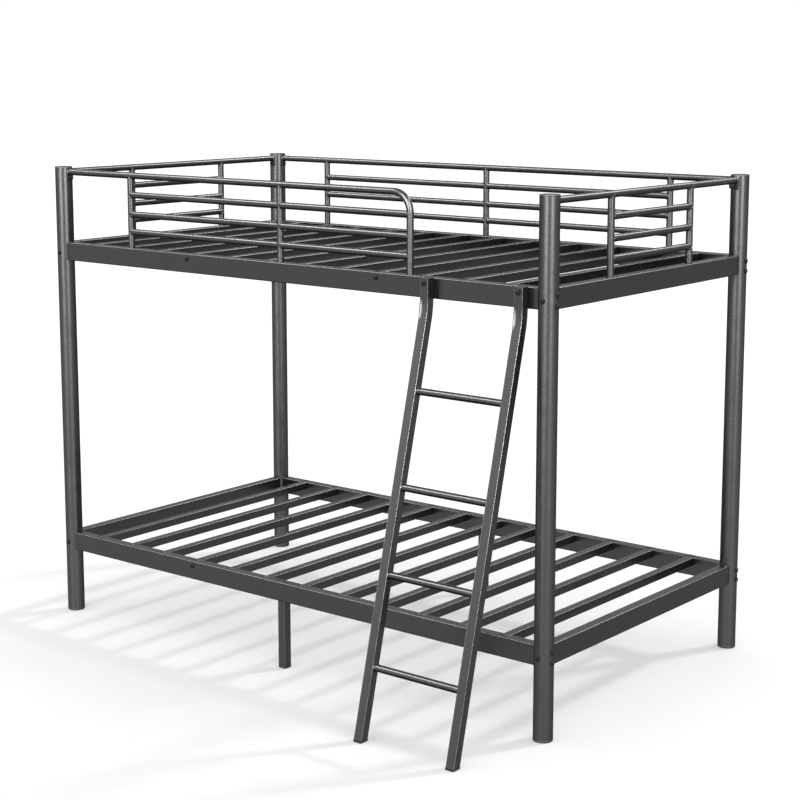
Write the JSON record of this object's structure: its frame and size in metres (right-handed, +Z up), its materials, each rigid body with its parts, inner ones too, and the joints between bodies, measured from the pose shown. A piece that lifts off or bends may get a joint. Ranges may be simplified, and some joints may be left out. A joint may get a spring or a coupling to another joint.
{
  "type": "bunk bed with ladder",
  "caption": "Steel tube bunk bed with two slatted decks, a barred guard round the upper deck and a bolted ladder at the front.",
  "frame": {"origin": "on the floor, under the centre of the whole object with its ladder", "axes": "+X along the bed, towards the ladder end; +Y from the ladder side to the rear; +Z up"},
  "size_m": [1.905, 1.3468, 1.4478],
  "materials": {
    "powder_coat": "satin charcoal powder coat with a fine texture",
    "plastic_caps": "black moulded polyethylene, matt"
  },
  "bodies": {
    "root": {"post_front_left": "powder_coat", "foot_cap_front_left": "plastic_caps", "top_cap_front_left": "plastic_caps", "post_front_right": "powder_coat", "foot_cap_front_right": "plastic_caps", "top_cap_front_right": "plastic_caps", "post_rear_left": "powder_coat", "foot_cap_rear_left": "plastic_caps", "top_cap_rear_left": "plastic_caps", "post_rear_right": "powder_coat", "foot_cap_rear_right": "plastic_caps", "top_cap_rear_right": "plastic_caps", "rail_lower_front": "powder_coat", "rail_lower_rear": "powder_coat", "rail_lower_left": "powder_coat", "rail_lower_right": "powder_coat", "rail_upper_front": "powder_coat", "rail_upper_rear": "powder_coat", "rail_upper_left": "powder_coat", "rail_upper_right": "powder_coat", "slat_lower_01": "powder_coat", "slat_lower_02": "powder_coat", "slat_lower_03": "powder_coat", "slat_lower_04": "powder_coat", "slat_lower_05": "powder_coat", "slat_lower_06": "powder_coat", "slat_lower_07": "powder_coat", "slat_lower_08": "powder_coat", "slat_lower_09": "powder_coat", "slat_lower_10": "powder_coat", "slat_lower_11": "powder_coat", "slat_lower_12": "powder_coat", "slat_upper_01": "powder_coat", "slat_upper_02": "powder_coat", "slat_upper_03": "powder_coat", "slat_upper_04": "powder_coat", "slat_upper_05": "powder_coat", "slat_upper_06": "powder_coat", "slat_upper_07": "powder_coat", "slat_upper_08": "powder_coat", "slat_upper_09": "powder_coat", "slat_upper_10": "powder_coat", "slat_upper_11": "powder_coat", "slat_upper_12": "powder_coat", "guard_front": "powder_coat", "guard_rear": "powder_coat", "guard_left": "powder_coat", "guard_right": "powder_coat", "ladder_stile_left": "powder_coat", "ladder_foot_left": "plastic_caps", "ladder_stile_right": "powder_coat", "ladder_foot_right": "plastic_caps", "ladder_rung_1": "powder_coat", "ladder_rung_2": "powder_coat", "ladder_rung_3": "powder_coat", "ladder_rung_4": "powder_coat", "centre_leg_front": "powder_coat", "centre_leg_foot_front": "plastic_caps", "centre_leg_rear": "powder_coat", "centre_leg_foot_rear": "plastic_caps"}
  },
  "joints": []
}
